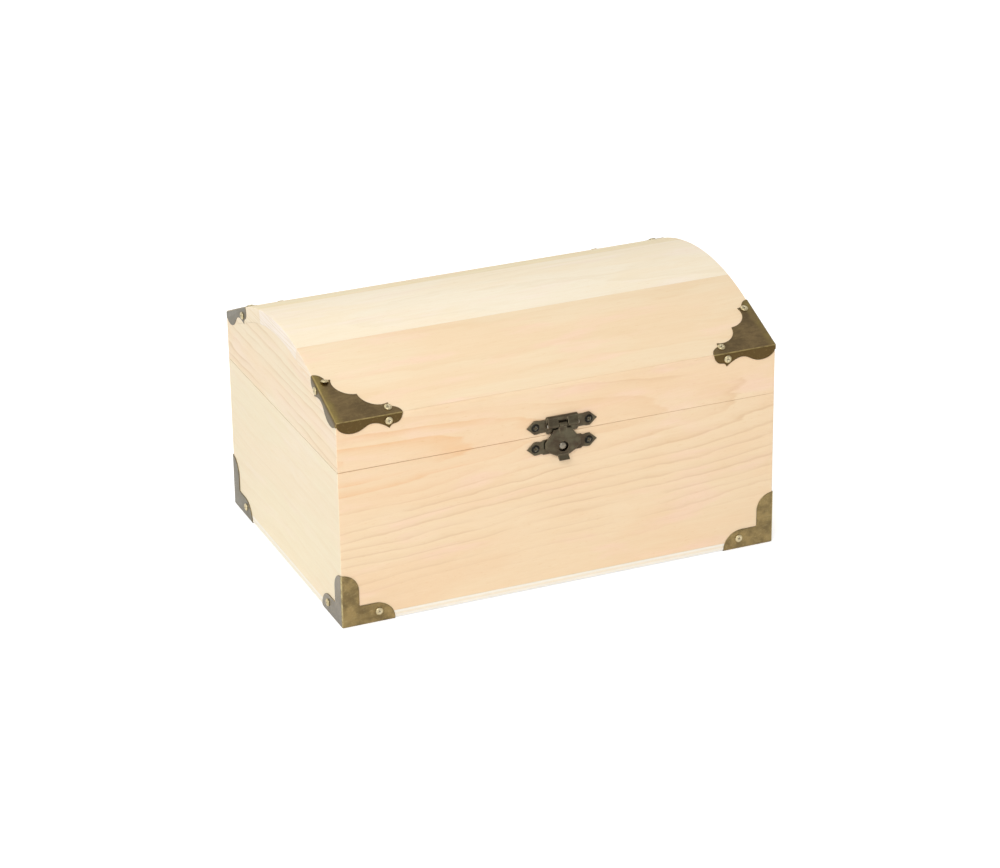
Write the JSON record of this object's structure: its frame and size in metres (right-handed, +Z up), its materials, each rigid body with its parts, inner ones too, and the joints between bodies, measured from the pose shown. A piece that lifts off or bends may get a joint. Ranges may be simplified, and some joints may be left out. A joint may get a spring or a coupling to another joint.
{
  "type": "treasure chest",
  "caption": "Small unfinished wooden treasure chest with a barrel-top hinged lid, scalloped stamped corner brackets and a front hasp.",
  "frame": {"origin": "middle of the footprint, on the plane of the base brackets' undersides that the chest stands on", "axes": "+X along the chest's length to the right as seen from the front, +Y to the back with the hinges, +Z up"},
  "size_m": [0.2032, 0.1425, 0.1122],
  "materials": {
    "pine": "smooth sanded, unfinished",
    "pale_pine": "smooth sanded, unfinished",
    "end_pine": "smooth sanded, unfinished",
    "plywood": "thin sheet, sawn edges",
    "aged_bronze": "antique bronze plating, worn bright along the bends",
    "dark_bronze": "dark antique plating",
    "pale_brass": "pale brass plating"
  },
  "bodies": {
    "base": {"base_back_panel": "pine", "base_bracket_back_left": "aged_bronze", "base_bracket_back_right": "aged_bronze", "base_bracket_front_left": "aged_bronze", "base_bracket_front_right": "aged_bronze", "base_front_panel": "pine", "base_left_end": "end_pine", "base_right_end": "end_pine", "base_screw_back_left_end": "pale_brass", "base_screw_back_left_face": "pale_brass", "base_screw_back_right_end": "pale_brass", "base_screw_back_right_face": "pale_brass", "base_screw_front_left_end": "pale_brass", "base_screw_front_left_face": "pale_brass", "base_screw_front_right_end": "pale_brass", "base_screw_front_right_face": "pale_brass", "bottom_panel": "plywood", "hasp_catch_plate": "dark_bronze", "hasp_screw_lower_left": "dark_bronze", "hasp_screw_lower_right": "dark_bronze", "hinge_left_base_leaf": "aged_bronze", "hinge_left_pin": "aged_bronze", "hinge_right_base_leaf": "aged_bronze", "hinge_right_pin": "aged_bronze"},
    "lid": {"hasp_hinge_plate": "dark_bronze", "hasp_pin": "dark_bronze", "hasp_screw_upper_left": "dark_bronze", "hasp_screw_upper_right": "dark_bronze", "hinge_left_lid_leaf": "aged_bronze", "hinge_right_lid_leaf": "aged_bronze", "lid_back_rail": "pine", "lid_back_stave": "pale_pine", "lid_bracket_back_left": "aged_bronze", "lid_bracket_back_right": "aged_bronze", "lid_bracket_front_left": "aged_bronze", "lid_bracket_front_right": "aged_bronze", "lid_centre_stave": "pale_pine", "lid_front_rail": "pine", "lid_front_stave": "pine", "lid_left_end": "end_pine", "lid_right_end": "end_pine", "lid_screw_back_left_end": "pale_brass", "lid_screw_back_left_face": "pale_brass", "lid_screw_back_left_roof_high": "pale_brass", "lid_screw_back_left_roof_low": "pale_brass", "lid_screw_back_right_end": "pale_brass", "lid_screw_back_right_face": "pale_brass", "lid_screw_back_right_roof_high": "pale_brass", "lid_screw_back_right_roof_low": "pale_brass", "lid_screw_front_left_end": "pale_brass", "lid_screw_front_left_face": "pale_brass", "lid_screw_front_left_roof_high": "pale_brass", "lid_screw_front_left_roof_low": "pale_brass", "lid_screw_front_right_end": "pale_brass", "lid_screw_front_right_face": "pale_brass", "lid_screw_front_right_roof_high": "pale_brass", "lid_screw_front_right_roof_low": "pale_brass"},
    "latch_flap": {"hasp_flap": "dark_bronze"}
  },
  "joints": [
    {"name": "lid_hinge", "type": "hinge", "parent": "base", "child": "lid", "pos_m": [0, 0.06955, 0.07085], "axis": [-1, 0, 0], "range_deg": [0, 180]},
    {"name": "latch_hinge", "type": "hinge", "parent": "lid", "child": "latch_flap", "pos_m": [0, -0.06935, 0.07515], "axis": [-1, 0, 0], "range_deg": [0, 150]}
  ]
}
